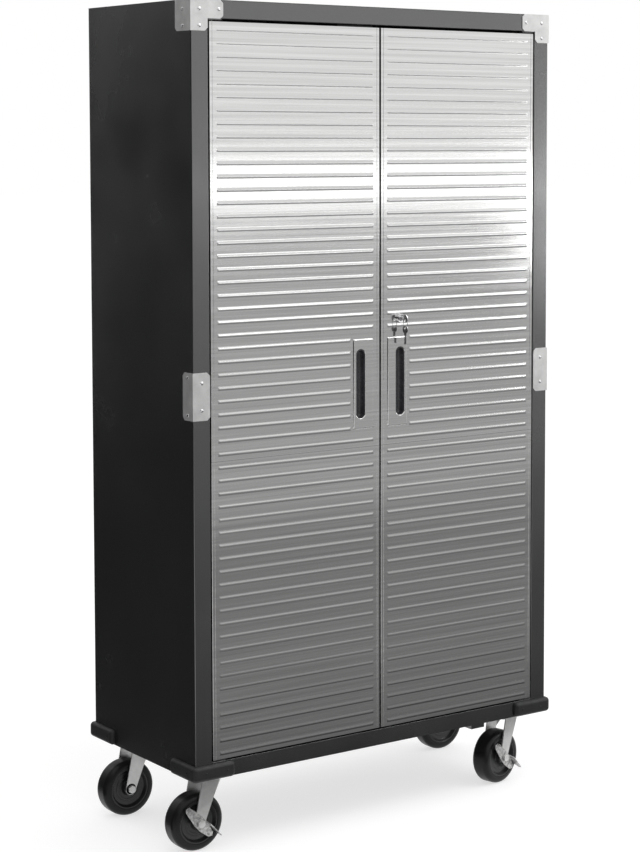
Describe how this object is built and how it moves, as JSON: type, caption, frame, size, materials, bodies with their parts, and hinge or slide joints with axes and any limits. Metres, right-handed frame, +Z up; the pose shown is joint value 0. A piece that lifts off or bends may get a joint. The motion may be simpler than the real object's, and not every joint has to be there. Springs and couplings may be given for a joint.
{
  "type": "storage cabinet",
  "caption": "Tall black metal cabinet with two ribbed steel doors, recessed finger pulls, key lock, inner shelves and swivel casters with brakes.",
  "frame": {"origin": "on the floor, under the middle of the overall box", "axes": "+Z up, -Y out of the door fronts, +X to the right for a person facing the doors"},
  "size_m": [1.02, 0.4919, 1.83],
  "materials": {
    "black_paint": "satin black powder coat",
    "shelf_paint": "satin grey powder coat",
    "stainless": "stainless sheet brushed across",
    "zinc_steel": "bright zinc plating",
    "lock_chrome": "polished chrome",
    "bumper_rubber": "matt black moulded rubber",
    "wheel_rubber": "black rubber with a soft sheen",
    "cup_plastic": "satin black plastic"
  },
  "bodies": {
    "cabinet": {"left_side_panel": "black_paint", "right_side_panel": "black_paint", "top_panel": "black_paint", "back_panel": "black_paint", "header_rail": "black_paint", "base_frame": "black_paint", "bumper_front_left": "bumper_rubber", "bumper_front_right": "bumper_rubber", "bumper_rear_left": "bumper_rubber", "bumper_rear_right": "bumper_rubber", "top_bracket_left": "zinc_steel", "top_bracket_right": "zinc_steel", "mid_bracket_left": "zinc_steel", "mid_bracket_right": "zinc_steel", "upper_pivot_left": "zinc_steel", "upper_pivot_right": "zinc_steel", "lower_pivot_left": "zinc_steel", "lower_pivot_right": "zinc_steel", "upright_front_left": "zinc_steel", "upright_front_right": "zinc_steel", "upright_rear_left": "zinc_steel", "upright_rear_right": "zinc_steel", "shelf_1": "shelf_paint", "shelf_2": "shelf_paint", "shelf_3": "shelf_paint", "shelf_4": "shelf_paint", "magnetic_catch": "cup_plastic", "caster_plate_front_left": "zinc_steel", "caster_plate_front_right": "zinc_steel", "caster_plate_rear_left": "zinc_steel", "caster_plate_rear_right": "zinc_steel"},
    "door_left": {"door_left_pan": "black_paint", "door_left_upper_skin": "stainless", "door_left_lower_skin": "stainless", "handle_cup_left": "cup_plastic"},
    "door_right": {"door_right_pan": "black_paint", "door_right_upper_skin": "stainless", "door_right_lower_skin": "stainless", "handle_cup_right": "cup_plastic", "lock_barrel": "lock_chrome"},
    "lock_turn": {"lock_plug": "lock_chrome", "lock_cam": "zinc_steel", "key": "lock_chrome"},
    "spare_key": {"spare_key": "lock_chrome"},
    "lock_rod_upper": {"lock_rod_upper": "zinc_steel"},
    "lock_rod_lower": {"lock_rod_lower": "zinc_steel"},
    "caster_fork_front_left": {"caster_fork_front_left": "zinc_steel", "caster_axle_front_left": "zinc_steel"},
    "caster_fork_front_right": {"caster_fork_front_right": "zinc_steel", "caster_axle_front_right": "zinc_steel"},
    "caster_fork_rear_left": {"caster_fork_rear_left": "zinc_steel", "caster_axle_rear_left": "zinc_steel"},
    "caster_fork_rear_right": {"caster_fork_rear_right": "zinc_steel", "caster_axle_rear_right": "zinc_steel"},
    "caster_wheel_front_left": {"caster_wheel_front_left": "wheel_rubber"},
    "caster_wheel_front_right": {"caster_wheel_front_right": "wheel_rubber"},
    "caster_wheel_rear_left": {"caster_wheel_rear_left": "wheel_rubber"},
    "caster_wheel_rear_right": {"caster_wheel_rear_right": "wheel_rubber"},
    "brake_lever_front_left": {"brake_lever_front_left": "zinc_steel"},
    "brake_lever_front_right": {"brake_lever_front_right": "zinc_steel"}
  },
  "joints": [
    {"name": "door_left_swing", "type": "hinge", "parent": "cabinet", "child": "door_left", "pos_m": [-0.4305, -0.21, 1], "axis": [0, 0, -1], "range_deg": [0, 105]},
    {"name": "door_right_swing", "type": "hinge", "parent": "cabinet", "child": "door_right", "pos_m": [0.4305, -0.21, 1], "axis": [0, 0, 1], "range_deg": [0, 105]},
    {"name": "key_turn", "type": "hinge", "parent": "door_right", "child": "lock_turn", "pos_m": [0.054, -0.215, 1.1375], "axis": [0, -1, 0], "range_deg": [0, 90]},
    {"name": "spare_key_hang", "type": "hinge", "parent": "lock_turn", "child": "spare_key", "pos_m": [0.054, -0.2361, 1.126], "axis": [0, -1, 0], "range_deg": [-90, 0]},
    {"name": "rod_upper_slide", "type": "slide", "parent": "door_right", "child": "lock_rod_upper", "axis": [0, 0, 1], "range_m": [0, 0.01414]},
    {"name": "rod_lower_slide", "type": "slide", "parent": "door_right", "child": "lock_rod_lower", "axis": [0, 0, -1], "range_m": [0, 0.01414]},
    {"name": "swivel_front_left", "type": "hinge", "parent": "cabinet", "child": "caster_fork_front_left", "pos_m": [-0.4145, -0.143, 0.155], "axis": [0, 0, 1], "continuous": true},
    {"name": "swivel_front_right", "type": "hinge", "parent": "cabinet", "child": "caster_fork_front_right", "pos_m": [0.4145, -0.143, 0.155], "axis": [0, 0, 1], "continuous": true},
    {"name": "swivel_rear_left", "type": "hinge", "parent": "cabinet", "child": "caster_fork_rear_left", "pos_m": [-0.4145, 0.163, 0.155], "axis": [0, 0, 1], "continuous": true},
    {"name": "swivel_rear_right", "type": "hinge", "parent": "cabinet", "child": "caster_fork_rear_right", "pos_m": [0.4145, 0.163, 0.155], "axis": [0, 0, 1], "continuous": true},
    {"name": "wheel_spin_front_left", "type": "hinge", "parent": "caster_fork_front_left", "child": "caster_wheel_front_left", "pos_m": [-0.4465, -0.143, 0.0635], "axis": [0, 1, 0], "continuous": true},
    {"name": "wheel_spin_front_right", "type": "hinge", "parent": "caster_fork_front_right", "child": "caster_wheel_front_right", "pos_m": [0.38332, -0.1502, 0.0635], "axis": [-0.225, 0.9744, 0], "continuous": true},
    {"name": "wheel_spin_rear_left", "type": "hinge", "parent": "caster_fork_rear_left", "child": "caster_wheel_rear_left", "pos_m": [-0.4465, 0.163, 0.0635], "axis": [0, 1, 0], "continuous": true},
    {"name": "wheel_spin_rear_right", "type": "hinge", "parent": "caster_fork_rear_right", "child": "caster_wheel_rear_right", "pos_m": [0.4465, 0.163, 0.0635], "axis": [0, 1, 0], "continuous": true},
    {"name": "brake_front_left", "type": "hinge", "parent": "caster_fork_front_left", "child": "brake_lever_front_left", "pos_m": [-0.4465, -0.143, 0.0635], "axis": [0, -1, 0], "range_deg": [0, 18]},
    {"name": "brake_front_right", "type": "hinge", "parent": "caster_fork_front_right", "child": "brake_lever_front_right", "pos_m": [0.38332, -0.1502, 0.0635], "axis": [0.225, -0.9744, 0], "range_deg": [0, 18]}
  ],
  "couplings": [
    {"joint": "key_turn", "follows": "rod_upper_slide", "rad_per_m": 111.11},
    {"joint": "spare_key_hang", "follows": "rod_upper_slide", "rad_per_m": -111.11},
    {"joint": "rod_lower_slide", "follows": "rod_upper_slide", "ratio": 1}
  ]
}
